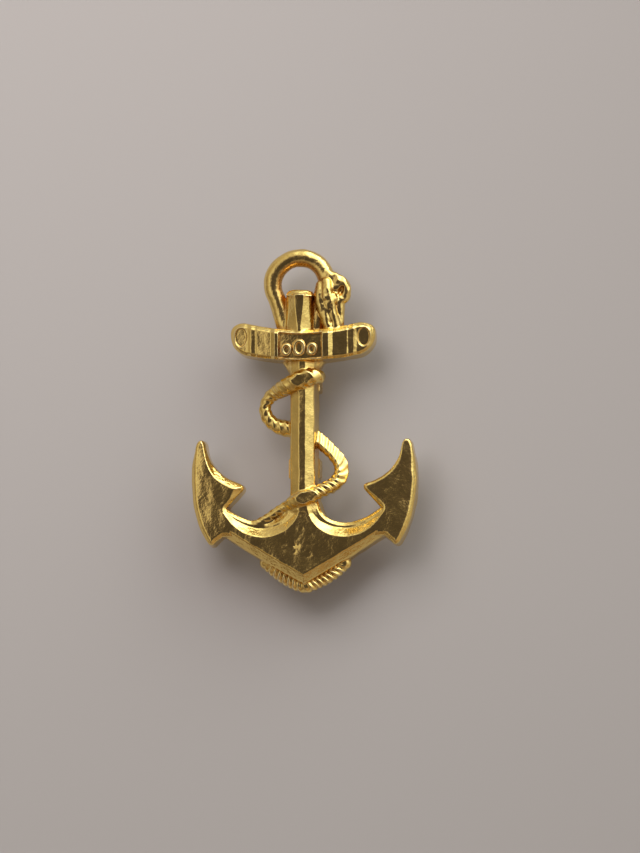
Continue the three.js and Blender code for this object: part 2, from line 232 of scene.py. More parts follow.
ARMS = Dims(
    face_z=4.95,                # the raised face at the axis
    face_bow=0.0014,            # how fast it falls towards the ends
    shoulder_lean=(0.85, 1.0, 1.312),
    ledge_z=4.82,               # the hollow ledge at both its ends
    ledge_sink=0.6,             # how much lower it is between them
    ledge_start=0.5,
    ledge_length=6.8,
    ledge_step=0.13,            # the least that it lies below the face
    ledge_bevel=0.3,
    ledge_lean=(0.8, 1.0, 1.28),
    low_bevel_z=4.0,            # where the lower bevel meets the side wall
    low_bevel_lean=(0.7, 0.62, 0.935),
    draft=0.045,                # how fast the side walls lean in
    end=7.8,
    crown_half=2.2,
    joint_x=7.03,               # the seam with the fluke, where it meets the hollow edge
    joint_y=-8.15,
    joint_lean=0.1556,
)
FLUKES = Dims(
    fall_x=7.9,                 # the faces fall outwards from here
    fall_y=-7.0,
    fall_turn=0.25,
    fall_left=0.045,            # half the slope of each face
    fall_right=0.07,
    fall_rounding=0.12,
    sink=0.08,                  # how much lower the face is behind the arm
    bevel=0.4,
    bevel_lean=(0.95, 1.0, 1.38),
    inner_left=0.28,            # the change in the bevel along the hollow edge
    inner_right=-0.14,
    tip_bevel=0.2,              # and the loss at the tip
)
# Pits that the mould left in the face of the crown.
CROWN_PITS = Dims(centre=(-0.2, -11.5), spread=(0.9, 1.1), count=44, size=0.1, depth=0.042, seed=4)


def dents(x, y, pits):
    """Small pits and lumps left by the mould, as a height."""
    rng = np.random.default_rng(pits.seed)
    height = 0.0
    for _ in range(pits.count):
        cx, cy = rng.normal(pits.centre, pits.spread)
        radius = pits.size * rng.uniform(0.7, 1.5)
        lift = pits.depth * rng.uniform(-1.0, 0.6)
        height = height + lift * np.exp(-((x - cx) ** 2 + (y - cy) ** 2) / (2 * radius**2))
    return height


def arm_outlines():
    """The upper edge, the lower edge and the crease of the arms, each closed far away."""
    edge = [(-FAR, -FAR), (-FAR, -6.0), (1.1, -6.0), (1.3, -7.0), *bezier(ARM_EDGE)]
    edge += [(12.0, -4.4), (FAR, -4.4), (FAR, -FAR)]
    low = mirrored([*bezier(LOWER_EDGE), (14.0, -6.5), (FAR, 12.0)])
    crease = [(0.3, -7.3), *bezier(ARM_CREASE), (8.4, -7.3), (10.0, -5.4)]
    crease = mirrored([*crease, (FAR, 10.0), (FAR, -FAR)])
    return edge, low, crease


def fluke_outline():
    """A palm, with the part of it that runs on under the end of the arm."""
    lines = [bezier(p, 16 if len(p) > 2 else 1)[:-1] for p in FLUKE_LINES]
    return np.vstack([*lines, UNDER_ARM])


def arm_shape(z, front_z, face_z, a, to_edge, to_low, to_crease):
    # The ledge is level with the raised face at both its ends, so the shoulder tapers.
    along = np.clip((a - ARMS.ledge_start) / ARMS.ledge_length, 0, 1)
    hump = np.sin(np.pi * along).clip(0) ** 0.7
    ledge_z = np.minimum(ARMS.ledge_z - ARMS.ledge_sink * hump, front_z - ARMS.ledge_step)
    draft = ARMS.draft * (z - BACK)
    ledge = smax(to_edge + draft, z - ledge_z, SOFT)
    ledge_bevel = slanted(ARMS.ledge_lean, to_edge, z - ledge_z + ARMS.ledge_bevel)
    ledge = smax(ledge, ledge_bevel, EDGE)
    shoulder = slanted(ARMS.shoulder_lean, to_crease - 0.02, z - face_z)
    face = smax(smax(shoulder, z - face_z, EDGE), to_edge + draft, SOFT)
    low_bevel = slanted(ARMS.low_bevel_lean, to_low, z - ARMS.low_bevel_z)
    arm = smax(smin(ledge, face, 0.04), low_bevel, SOFT)
    arm = smax(arm, to_low + draft, 2 * SOFT)
    return smax(arm, a - ARMS.end, SOFT)


def palm_shape(x, y, z, front_z, a, to_crease):
    to_rim = outline_distance(fluke_outline(), a, y)
    behind = ramp(to_crease, 0.0, 1.3) * ramp(a, 9.4, 7.4)
    palm_z = front_z - FLUKES.sink * behind
    draft = ARMS.draft * (z - BACK)
    palm = smax(to_rim + 0.6 * draft, z - palm_z, SOFT)
    # The bevel narrows at the tip. Along the hollow edge above the barb it is widest on the
    # left fluke and narrowest on the right one.
    inner = ramp(a - np.interp(y, *FLUKE_MIDDLE), 0.3, -0.5)
    inner_change = np.where(x < 0, FLUKES.inner_left, FLUKES.inner_right)
    wide = FLUKES.bevel + inner_change * inner * ramp(y, -7.4, -6.4)
    wide = wide - FLUKES.tip_bevel * ramp(y, -5.0, -2.2)
    return smax(palm, slanted(FLUKES.bevel_lean, to_rim, z - palm_z + wide), SOFT)


def sculpt_anchor():
    nodes = ("crown", "left_arm", "right_arm", "left_fluke", "right_fluke")
    cuts, x, y, z = window(*nodes)
    a = np.abs(x)
    to_edge, to_low, to_crease = (outline_distance(line, a, y) for line in arm_outlines())
    # The faces of the flukes fall outwards, the left one less than the right.
    outer = a - FLUKES.fall_x + FLUKES.fall_turn * (y - FLUKES.fall_y)
    fall = np.where(x < 0, FLUKES.fall_left, FLUKES.fall_right)
    front_z = ARMS.face_z - ARMS.face_bow * a**2
    front_z = front_z - fall * (outer + np.sqrt(outer**2 + FLUKES.fall_rounding))
    face_z = front_z + dents(x, y, CROWN_PITS)
    arm = arm_shape(z, front_z, face_z, a, to_edge, to_low, to_crease)
    palm = palm_shape(x, y, z, front_z, a, to_crease)
    shape = flat_back(np.minimum(arm, palm), z)

    joint_x = ARMS.joint_x + ARMS.joint_lean * (ARMS.joint_y - y)
    number = np.where(
        a < ARMS.crown_half,
        NUMBER["crown"],
        np.where(
            a < joint_x,
            np.where(x < 0, NUMBER["left_arm"], NUMBER["right_arm"]),
            np.where(x < 0, NUMBER["left_fluke"], NUMBER["right_fluke"]),
        ),
    )
    join(cuts, shape, number, 0.1)


# ---- Shank and head ----
SHANK = Dims(
    foot_y=-8.5,
    top_y=5.9,
    ridge_z=5.1,
    ridge_dip=0.12,             # how much lower the ridge is at its foot
    side_x=1.38,                # half the width at the back
    side_lean=(2.1, 0.26, 2.116),
    facet_x=1.14,
    facet_z=4.5,
    facet_lean=(0.6, 0.86, 1.049),
)
COLLAR = Dims(low_y=3.4, high_y=5.7, half=1.2, spread=0.42, spread_y=3.9, front_z=4.35)
HEAD = Dims(
    x=-0.34,
    ridge=0.14,                 # half the width of the ridge at the stock
    ridge_spread=0.28,          # and how much more it is at the cap
    ridge_z=5.45,
    edge_x=1.12,                # where the facets end
    edge_z=4.8,
    side_x=1.33,
    side_z=4.35,
    side_lean=(0.45, 0.21, 0.497),
    foot_y=8.0,
    cap_y=11.42,
    cap_z=5.44,
    facets_y=11.6,
    top_y=12.05,
)


def sculpt_shank():
    cuts, x, y, z = window("shank")
    u = np.abs(x - AXIS_X)
    ridge_z = SHANK.ridge_z - SHANK.ridge_dip * ramp(y, -7.0, -8.4)
    side = slanted(SHANK.side_lean, u - SHANK.side_x, z - BACK)
    facet = slanted(SHANK.facet_lean, u - SHANK.facet_x, z - SHANK.facet_z)
    shape = smax(smax(side, facet, 0.14), z - ridge_z, 0.04)
    shape = smax(shape, SHANK.foot_y - y, 0.2)
    shape = smax(shape, y - SHANK.top_y, 0.2)
    # The shank spreads into the stock.
    spread = COLLAR.half + COLLAR.spread * (y - COLLAR.spread_y).clip(0) ** 1.5
    front = 0.8 * (z - COLLAR.front_z) + 0.35 * (u - 1.0)
    collar = smax((u - spread) / 1.3, front, 0.5)
    collar = smax(smax(collar, COLLAR.low_y - y, 0.2), y - COLLAR.high_y, 0.2)
    shape = smin(shape, collar, 0.25)
    join(cuts, flat_back(shape, z), NUMBER["shank"], 0.22)


def sculpt_head():
    cuts, x, y, z = window("shank_head")
    u = np.abs(x - HEAD.x)
    ridge = HEAD.ridge + HEAD.ridge_spread * ramp(y, 8.3, 11.2)
    drop, run = HEAD.ridge_z - HEAD.edge_z, HEAD.edge_x - ridge
    facet = slanted((drop, run, np.sqrt(drop**2 + run**2)), u - HEAD.edge_x, z - HEAD.edge_z)
    side = slanted(HEAD.side_lean, u - HEAD.side_x, z - HEAD.side_z)
    shape = smax(facet, side, 0.12)
    shape = smax(shape, z - HEAD.ridge_z, EDGE)
    shape = smax(shape, y - HEAD.facets_y, 0.1)
    # The domed cap stands a little proud of the facets.
    dome = (z - HEAD.cap_z + 0.3 * u**2 + 0.95 * (y - HEAD.cap_y)) / 1.5
    dome = smax(smax(dome, HEAD.cap_y - y, 0.06), u - HEAD.side_x, 0.2)
    wall = smax(u - HEAD.side_x, y - HEAD.top_y, 0.7)
    shape = smax(smin(shape, dome, 0.03), wall, 0.12)
    shape = smax(shape, HEAD.foot_y - y, 0.1)
    join(cuts, flat_back(shape, z), NUMBER["shank_head"], 0.2)


# ---- Stock ----
STOCK = Dims(
    top_y=8.35,                 # the upper and lower edges at the axis, and how they curve
    top_curve=0.0265,
    bottom_y=5.33,
    bottom_curve=0.021,
    straight=5.3,               # how far out the rounded tip begins
    tip=6.78,
    tip_y=7.95,
    tip_rise=0.55,
    block_half=2.87,
    bevel=0.34,                 # and how much wider it is along the top
    bevel_more=0.16,
    panel_x=-0.1,               # the sunk panel of the block
    panel_half=1.98,
    panel_top=0.45,
    panel_bottom=0.3,
    panel_z=5.34,
    panel_bow=0.022,
    leaf_x=5.72,                # the leaf-shaped dish in each tip
    leaf_y=7.7,
    leaf_half=(0.56, 0.86),
    leaf_depth=0.16,
)
# Front heights from the middle outwards: block, bevel, arm, step, strip, bevel, tip.
STOCK_FRONT = (
    [0, 2.5, 2.87, 4.18, 4.32, 4.74, 5.1, 6.8],
    [5.6, 5.6, 5.3, 5.12, 5.04, 5.04, 4.86, 4.6],
)
# Centre and half size of each raised ring.
BEADS = {
    "stock_bead_left": (-1.5, 6.42, 0.42, 0.5),
    "stock_bead_centre": (-0.32, 6.6, 0.55, 0.72),
    "stock_bead_right": (0.86, 6.46, 0.42, 0.5),
}


BEAD_Z = 5.42                   # height of the middle of each raised ring
BEAD_WIRE = 0.15                # and the radius of its section


def stock_top(x):
    return STOCK.top_y + STOCK.top_curve * (x - AXIS_X) ** 2


def stock_bottom(x):
    return STOCK.bottom_y + STOCK.bottom_curve * (x - AXIS_X) ** 2


def stock_outline():
    """The stock's outline round its axis."""
    far, tip = AXIS_X + STOCK.straight, AXIS_X + STOCK.tip
    along = np.linspace(AXIS_X, far, 24)
    bottom = [(v, stock_bottom(v)) for v in along]
    top = [(v, stock_top(v)) for v in along[::-1]]
    turn = bezier([bottom[-1], (tip, stock_bottom(far) + STOCK.tip_rise), (tip, STOCK.tip_y)])
    back = bezier([(tip, STOCK.tip_y), (tip, stock_top(far)), top[0]])
    half = np.array([*bottom, *turn, *back, *top]) - (AXIS_X, 0)
    return mirrored(half)


def sculpt_stock():
    nodes = ("stock_centre_block", "stock_left_arm", "stock_right_arm")
    cuts, x, y, z = window(*nodes)
    u = x - AXIS_X
    a = np.abs(u)
    rim = outline_distance(stock_outline(), u, y)
    front = np.interp(a, *STOCK_FRONT)
    bevel = STOCK.bevel + STOCK.bevel_more * ramp(y, 6.6, 7.4)
    shape = smax(rim + 0.03 * (z - BACK), z - front, EDGE)
    shape = smax(shape, (rim + z - front + bevel) * 0.7071, 0.07)
    sides = np.abs(u - STOCK.panel_x) - STOCK.panel_half
    panel = smax(sides, y - stock_top(x) + STOCK.panel_top, EDGE)
    panel = smax(panel, stock_bottom(x) + STOCK.panel_bottom - y, EDGE)
    floor_z = STOCK.panel_z - STOCK.panel_bow * u**2
    sunk = smax(panel + 0.2 * (floor_z - z), floor_z - z, EDGE)
    shape = smax(shape, -sunk, EDGE)
    leaf = ellipse_distance(a - STOCK.leaf_x, y - STOCK.leaf_y, *STOCK.leaf_half)
    shape = smax(shape, -smax(leaf, front - STOCK.leaf_depth - z, 0.12), 0.06)
    number = np.where(
        a < STOCK.block_half,
        NUMBER["stock_centre_block"],
        np.where(u < 0, NUMBER["stock_left_arm"], NUMBER["stock_right_arm"]),
    )
    join(cuts, flat_back(shape, z), number, 0.15)


def sculpt_beads():
    for name, (cx, cy, half_x, half_y) in BEADS.items():
        cuts, x, y, z = window(name)
        round_it = ellipse_distance(x - cx, y - cy, half_x * 0.8, half_y * 0.86)
        rim = np.sqrt(round_it**2 + (z - BEAD_Z) ** 2) - BEAD_WIRE
        join(cuts, rim, NUMBER[name], 0.06)


# ---- Round bars and rope ----
def smooth_route(points, per_span=10):
    """The centripetal Catmull-Rom curve through the points."""
    points = [np.array(p, float) for p in points]
    padded = [2 * points[0] - points[1], *points, 2 * points[-1] - points[-2]]
    made = []
    for a, b, c, d in zip(padded, padded[1:], padded[2:], padded[3:]):
        gaps = (b - a, c - b, d - c)
        t0, t1, t2 = (max(np.linalg.norm(gap), 1e-4) ** 0.5 for gap in gaps)
        m1 = ((b - a) / t0 - (c - a) / (t0 + t1) + (c - b) / t1) * t1
        m2 = ((c - b) / t1 - (d - b) / (t1 + t2) + (d - c) / t2) * t1
        for i in range(per_span):
            s = i / per_span
            made.append(
                (2 * s**3 - 3 * s**2 + 1) * b
                + (s**3 - 2 * s**2 + s) * m1
                + (3 * s**2 - 2 * s**3) * c
                + (s**3 - s**2) * m2
            )
    return np.array([*made, points[-1]])


def around(route, radius):
    """Each grid point's nearest place on a route.

    Gives the grid's slices, the distance to the route, the distance along it, the offset to
    its side and above it, its whole length, and the grid's z.
    """
    cuts, x, y, z = window(low=route.min(0) - radius, high=route.max(0) + radius)
    shape = field[cuts].shape
    near = np.full(shape, FAR, np.float32)
    along, across, over = (np.zeros(shape, np.float32) for _ in range(3))
    tangents = np.gradient(route, axis=0)
    tangents /= np.linalg.norm(tangents, axis=1)[:, None]
    side = np.cross(tangents[0], (0.0, 0.0, 1.0))
    lengths = np.linalg.norm(np.diff(route, axis=0), axis=1)
    start = np.concatenate([[0], np.cumsum(lengths)])
    frames = []
    for tangent in tangents:
        side = side - tangent * side.dot(tangent)
        side = side / np.linalg.norm(side)
        frames.append((side, np.cross(tangent, side)))
    origin = np.array([x[0, 0, 0], y[0, 0, 0], z[0, 0, 0]])
    for i, length in enumerate(lengths):
        p, q = route[i], route[i + 1]
        low = np.minimum(p, q) - radius - REACH
        high = np.maximum(p, q) + radius + REACH
        first = np.floor((low - origin) / STEP).astype(int).clip(0)
        last = np.ceil((high - origin) / STEP).astype(int).clip(0) + 1
        part = tuple(slice(a, b) for a, b in zip(first, last))
        dx, dy, dz = x[part[0]] - p[0], y[:, part[1]] - p[1], z[:, :, part[2]] - p[2]
        ux, uy, uz = (q - p) / length
        t = np.clip(dx * ux + dy * uy + dz * uz, 0, length)
        dx, dy, dz = dx - t * ux, dy - t * uy, dz - t * uz
        gap = dx * dx + dy * dy + dz * dz
        better = gap < near[part]
        share = t / length
        (n0, b0), (n1, b1) = frames[i], frames[i + 1]
        n = [n0[j] + share * (n1[j] - n0[j]) for j in range(3)]
        b = [b0[j] + share * (b1[j] - b0[j]) for j in range(3)]
        np.copyto(near[part], gap, where=better)
        np.copyto(along[part], start[i] + t, where=better)
        np.copyto(across[part], dx * n[0] + dy * n[1] + dz * n[2], where=better)
        np.copyto(over[part], dx * b[0] + dy * b[1] + dz * b[2], where=better)
    return cuts, np.sqrt(near), along, across, over, start[-1], z


FACET_LEAN = math.radians(33)   # how far the worn facet of a rope leans over
STRAND_CENTRE = 0.4             # a strand's middle and size, as shares of the rope's radius
STRAND_RADIUS = 0.6
STRANDS = 3
FACET_RIB = 0.033               # how much of the strands still shows in the worn facets
FLAT_RIB = 0.014


def spaced(values, share):
    """The value at a share of the way, from values evenly spaced along it."""
    return np.interp(share, np.linspace(0, 1, len(values)), values)


def laid_rope(name, lay, grooves, blend, flat_z=FAR, leans=(1.5, 1.5)):
    """Three strands laid round each other.

    The fourth number of each route point is the radius. The grooves between the strands have
    the depths given, evenly spaced along the rope. So has the worn facet on the right-hand
    side of the route, as shares of the radius. Nothing stands above flat_z.
    """
    points = np.array(ROUTES[name], float)
    route = smooth_route(points[:, :3])
    cuts, near, along, across, over, length, z = around(route, points[:, 3].max())
    spans = np.linalg.norm(np.diff(points[:, :3], axis=0), axis=1)
    stations = np.concatenate([[0], np.cumsum(spans)]) * length / spans.sum()
    radius = np.interp(along, stations, points[:, 3]).astype(np.float32)
    centre = STRAND_CENTRE * radius
    angle = np.arctan2(over, across) - 2 * np.pi * along / lay
    third = 2 * np.pi / STRANDS
    folded = (angle + third / 2) % third - third / 2
    gap = near**2 + centre**2 - 2 * near * centre * np.cos(folded)
    strands = np.sqrt(np.maximum(gap, 0)) - STRAND_RADIUS * radius
    shape = smin(strands, near - radius + spaced(grooves, along / length), 0.1)
    ribs = np.cos(STRANDS * angle)
    facet = -math.sin(FACET_LEAN) * across - math.cos(FACET_LEAN) * over
    facet = facet - spaced(leans, along / length) * radius - FACET_RIB * ribs
    shape = smax(shape, facet, 0.08)
    shape = smax(shape, z - flat_z - FLAT_RIB * ribs, 0.05)
    join(cuts, smax(shape, BACK - z, 0.1), NUMBER[name], blend)


ROUTES = {
    "rope_knot": [
        (2.3, 13.45, 4.0, 0.5), (3.0, 13.1, 4.1, 0.54), (3.62, 12.7, 4.1, 0.54),
        (3.86, 12.0, 4.05, 0.54), (3.72, 11.35, 4.05, 0.52), (3.2, 11.1, 4.2, 0.5),
        (2.7, 11.4, 4.5, 0.5),
    ],
    "rope_fall_inner": [
        (1.6, 12.5, 4.4, 0.42), (1.48, 11.6, 4.6, 0.5), (1.68, 10.6, 4.65, 0.52),
        (2.1, 9.4, 4.65, 0.5), (2.5, 8.2, 4.5, 0.5),
    ],
    "rope_fall_middle": [
        (2.1, 12.7, 4.5, 0.5), (2.22, 11.5, 4.7, 0.58), (2.5, 10.4, 4.65, 0.58),
        (2.85, 9.3, 4.5, 0.52), (3.1, 8.2, 4.4, 0.48),
    ],
    "rope_fall_outer": [
        (3.15, 11.3, 4.05, 0.58), (3.25, 10.6, 4.1, 0.52), (3.22, 9.7, 4.1, 0.5),
        (3.15, 8.2, 4.0, 0.55),
    ],
    "rope_upper_turn": [
        (1.2, 3.9, 3.6, 0.6), (1.38, 3.98, 4.3, 0.66), (1.0, 3.98, 4.85, 0.76),
        (0.3, 3.85, 5.12, 0.82), (-0.6, 3.52, 5.05, 0.84), (-1.5, 3.12, 4.6, 0.84),
        (-2.4, 2.72, 3.8, 0.74), (-3.2, 2.25, 3.5, 0.62), (-3.7, 1.35, 3.4, 0.56),
        (-3.5, 0.4, 3.35, 0.6), (-2.85, -0.3, 3.3, 0.68), (-2.1, -0.62, 3.3, 0.78),
        (-1.0, -0.8, 3.3, 0.85),
    ],
    "rope_lower_turn": [
        (0.9, -1.5, 3.4, 0.7), (1.8, -2.2, 3.4, 0.7), (2.7, -3.1, 3.4, 0.66),
        (3.36, -4.1, 3.4, 0.68), (3.36, -5.1, 3.45, 0.7), (2.8, -5.9, 3.7, 0.7),
        (1.9, -6.5, 4.3, 0.7), (0.9, -7.0, 4.85, 0.7), (-0.1, -7.35, 4.95, 0.68),
        (-1.0, -7.7, 4.5, 0.55),
    ],
    "rope_tail": [
        (-1.2, -7.75, 4.35, 0.5), (-2.0, -8.15, 4.05, 0.46), (-2.8, -8.65, 3.9, 0.44),
        (-3.6, -9.15, 3.85, 0.42), (-4.4, -9.6, 3.8, 0.4),
    ],
    "rope_crown_turn": [
        (-3.5, -13.1, 3.3, 0.66), (-2.5, -14.0, 3.3, 0.7), (-1.3, -14.8, 3.3, 0.7),
        (0.0, -15.27, 3.3, 0.7), (1.3, -14.85, 3.3, 0.7), (2.6, -14.15, 3.3, 0.7),
        (3.65, -13.2, 3.3, 0.66),
    ],
}


# Each rope's lay, the depths of its grooves and its fillet, then its flat top and worn facet.
UPPER_GROOVES = [0.03, 0.09, 0.05, 0.06, 0.05, 0.04, 0.03]
LOWER_GROOVES = [0.02, 0.02, 0.02, 0.02, 0.05, 0.13, 0.13, 0.01, 0.01]
LOWER_LEANS = [0.62, 0.62, 0.62, 0.62, 0.8, 1.2, 1.5, 1.5, 1.5]
CROWN_GROOVES = [0.02, 0.2, 0.22, 0.03, 0.22, 0.2, 0.02]
ROPES = {
    "rope_upper_turn": (2.1, UPPER_GROOVES, 0.22, 5.76),
    "rope_lower_turn": (2.0, LOWER_GROOVES, 0.2, 5.44, LOWER_LEANS),
    "rope_tail": (2.0, [0.03, 0.03], 0.35),
    "rope_crown_turn": (1.5, CROWN_GROOVES, 0.1),
    "rope_knot": (2.4, [0.02, 0.02], 0.25),
    "rope_fall_inner": (9.0, [0.0, 0.0], 0.12),
    "rope_fall_middle": (9.0, [0.0, 0.0], 0.12),
    "rope_fall_outer": (9.0, [0.0, 0.0], 0.12),
}
KNOT_MIDDLE = (3.15, 12.3, 4.0)
KNOT_RADIUS = 0.86
DIMPLE = (3.5, 11.95, 4.75)
DIMPLE_RADIUS = 0.45
KNOT_LUMPS = Dims(centre=(2.6, 11.2), spread=(0.7, 1.4), count=70, size=0.13, depth=0.075, seed=21)


def sculpt_ropes():
    for name, look in ROPES.items():
        laid_rope(name, *look)
    # The knot is closed in its middle, but for a dimple.
    cuts, x, y, z = window("rope_knot", "rope_fall_middle")
    cx, cy, cz = KNOT_MIDDLE
    plug = np.sqrt((x - cx) ** 2 + (y - cy) ** 2 + 1.4 * (z - cz) ** 2) - KNOT_RADIUS
    join(cuts, plug, NUMBER["rope_knot"], 0.3)
    cx, cy, cz = DIMPLE
    across = (x - cx - 0.35 * (y - cy)) / 0.55
    dimple = np.sqrt(across**2 + (y - cy) ** 2 + (z - cz) ** 2) - DIMPLE_RADIUS
    field[cuts] = smax(field[cuts], -0.7 * dimple.astype(np.float32), 0.12)
    lumps = dents(x, y, KNOT_LUMPS)
    field[cuts] -= (lumps * ramp(z, 4.2, 4.6) * ramp(x, 1.1, 1.5)).astype(np.float32)


RING_CENTRE = np.array([-0.42, 12.61])
RING = Dims(
    z=3.62,
    radius=2.53,
    bar=0.83,                   # radius of the bar that the ring is made of
    turn=0.56,                  # radians below level where the legs begin
    foot_y=8.3,
    left_foot=-1.22,            # from the ring's centre
    right_foot=1.5,
)


def sculpt_ring():
    cx, cy = RING_CENTRE
    points = [(cx + RING.left_foot, RING.foot_y, RING.z)]
    for t in np.linspace(math.pi + RING.turn, -RING.turn, 13):
        points.append((cx + RING.radius * math.cos(t), cy + RING.radius * math.sin(t), RING.z))
    points.append((cx + RING.right_foot, RING.foot_y, RING.z))
    cuts, near, *_ = around(smooth_route(points, 6), RING.bar)
    join(cuts, near - RING.bar, NUMBER["anchor_ring"], 0.15)


# ---- Sewing lugs ----
THREAD_HOLE = 0.7               # radius of the hole, and its height
THREAD_HOLE_Z = 1.3
LUG_ROOT = 0.4                  # how far a lug runs up into the casting


def sculpt_lugs():
    for name in ("upper_sewing_lug", "lower_sewing_lug"):
        low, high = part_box(name)
        middle = (low + high) / 2 / MM
        cuts, x, y, z = window(name)
        half_x = (high.x - low.x) / 2 / MM
        half_y = (high.y - low.y) / 2 / MM
        u = np.abs(x - middle.x)
        foot = smax(u - half_x, -z, 0.7)
        body = smax(foot, np.abs(y - middle.y) - half_y, 0.22)
        body = smax(body, THREAD_HOLE - np.sqrt(u**2 + (z - THREAD_HOLE_Z) ** 2), 0.16)
        join(cuts, smax(body, z - BACK - LUG_ROOT, 0.1), NUMBER[name], 0.1)


WAVES = ((3.4, 0.012), (2.3, 0.010), (1.5, 0.007), (1.0, 0.004))    # lengths and heights


def roughen():
    """The slight unevenness of a casting."""
    rng = np.random.default_rng(11)
    x, y, z = axes[0][:, None, None], axes[1][None, :, None], axes[2][None, None, :]
    for wavelength, height in WAVES:
        for _ in range(2):
            way = rng.normal(size=3)
            kx, ky, kz = (way / np.linalg.norm(way) * 2 * math.pi / wavelength).astype(np.float32)
            phase = np.float32(rng.uniform(0, 2 * math.pi))
            field[...] += np.float32(height) * np.sin(kx * x + ky * y + kz * z + phase)


sculpt_anchor()
sculpt_shank()
sculpt_head()
sculpt_ring()
sculpt_stock()
sculpt_beads()
sculpt_ropes()
sculpt_lugs()
roughen()


# ---- From the field to meshes ----
def sample(points):
    """The field at any points, in grid steps."""
    top = np.array(field.shape) - 1.001     # just inside the last cell
    points = np.clip(points, 0, top)
    base = points.astype(int)
    part = (points - base).astype(np.float32)
    total = 0.0
    for dx in (0, 1):
        for dy in (0, 1):
            for dz in (0, 1):
                weight = 1.0
                for j, d in enumerate((dx, dy, dz)):
                    weight = weight * (part[:, j] if d else 1 - part[:, j])
                total = total + weight * field[base[:, 0] + dx, base[:, 1] + dy, base[:, 2] + dz]
    return total


def slope(points, reach=0.6):
    made = np.empty(points.shape, np.float32)
    for j in range(3):
        step = np.zeros(3)
        step[j] = reach
        made[:, j] = (sample(points + step) - sample(points - step)) / (2 * reach * STEP)
    return made


def curvature(points, reach=1.5):
    """How sharply the field bends: high on ridges, low in creases."""
    bend = np.zeros(len(points), np.float32)
    for j in range(3):
        step = np.zeros(3)
        step[j] = reach
        bend += sample(points + step) + sample(points - step) - 2 * sample(points)
    return bend / (reach * STEP) ** 2


def closeness(points, normals):
    """How closed in each point is, from how fast the field grows away from it. It masks the painted
    shade in the hollows.
    """
    shade = np.zeros(len(points), np.float32)
    for reach in (0.25, 0.5, 0.8):
        value = sample(points + normals * reach / STEP)
        shade += np.clip(1 - value / reach, 0, 1) / 3
    return shade


def ring_inside_shade(places, normals):
    """1 on the inside of the ring: painted shade that darkens the gold there, for the shadowed
    cloth it reflects.
    """
    to_middle = RING_CENTRE - places[:, :2]
    away = np.linalg.norm(to_middle, axis=1)
    inward = (to_middle * normals[:, :2]).sum(1) / np.maximum(away, 1e-6)
    inside = ramp(inward, 0.28, 0.6) * ramp(away, 1.5, 1.65) * ramp(away, 4.2, 3.4)
    return inside * ramp(places[:, 0], 2.2, 1.8)


def mesh_cells():
    """Quads between grid points of different pieces, as (piece, four cells)."""
    label = np.where(field < 0, owner, 0).astype(np.int8)
    size = np.array(label.shape)
    stride = np.array([size[1] * size[2], size[2], 1])
    quads, pieces = [], []
    for axis in range(3):
        low = [slice(None)] * 3
        high = [slice(None)] * 3
        low[axis] = slice(0, -1)
        high[axis] = slice(1, None)
        a, b = label[tuple(low)], label[tuple(high)]
        at = np.argwhere(a != b)
        first, second = a[tuple(at.T)], b[tuple(at.T)]
        others = [(axis + 1) % 3, (axis + 2) % 3]
        corner = at @ stride
        u, v = stride[others[0]], stride[others[1]]
        loop = np.stack([corner - u - v, corner - v, corner, corner - u], axis=1)
        for side, turned in ((first, loop), (second, loop[:, ::-1])):
            kept = side > 0
            quads.append(turned[kept])
            pieces.append(side[kept])
    return np.concatenate(quads), np.concatenate(pieces), size


def cell_points(cells, size):
    """Where each cell's vertex goes, in grid steps, and which are on the outside."""
    at = np.stack(np.unravel_index(cells, size), axis=1)
    offsets = np.array([(i, j, k) for i in (0, 1) for j in (0, 1) for k in (0, 1)])
    values = np.stack([field[tuple((at + o).T)] for o in offsets], axis=1)
    total = np.zeros((len(cells), 3))
    count = np.zeros(len(cells))
    for a in range(8):
        for b in range(a + 1, 8):
            if np.abs(offsets[a] - offsets[b]).sum() != 1:
                continue
            crossed = (values[:, a] < 0) != (values[:, b] < 0)
            gap = np.where(crossed, values[:, a] - values[:, b], 1.0)
            t = np.where(crossed, values[:, a] / gap, 0.0)[:, None]
            total += np.where(crossed[:, None], offsets[a] + t * (offsets[b] - offsets[a]), 0)
            count += crossed
    outside = count > 0
    local = np.where(outside[:, None], total / np.maximum(count, 1)[:, None], 0.5)
    points = at + local
    # Each vertex steps towards the surface, and stays in or beside its own cell.
    for _ in range(3):
        value = sample(points[outside])
        grad = slope(points[outside])
        steepness = np.maximum((grad**2).sum(1), 0.05)[:, None]
        move = np.clip(-value[:, None] * grad / steepness / STEP, -0.4, 0.4)
        points[outside] += 0.8 * move
    points[outside] = np.clip(points[outside], at[outside] - 0.2, at[outside] + 1.2)
    return points, outside


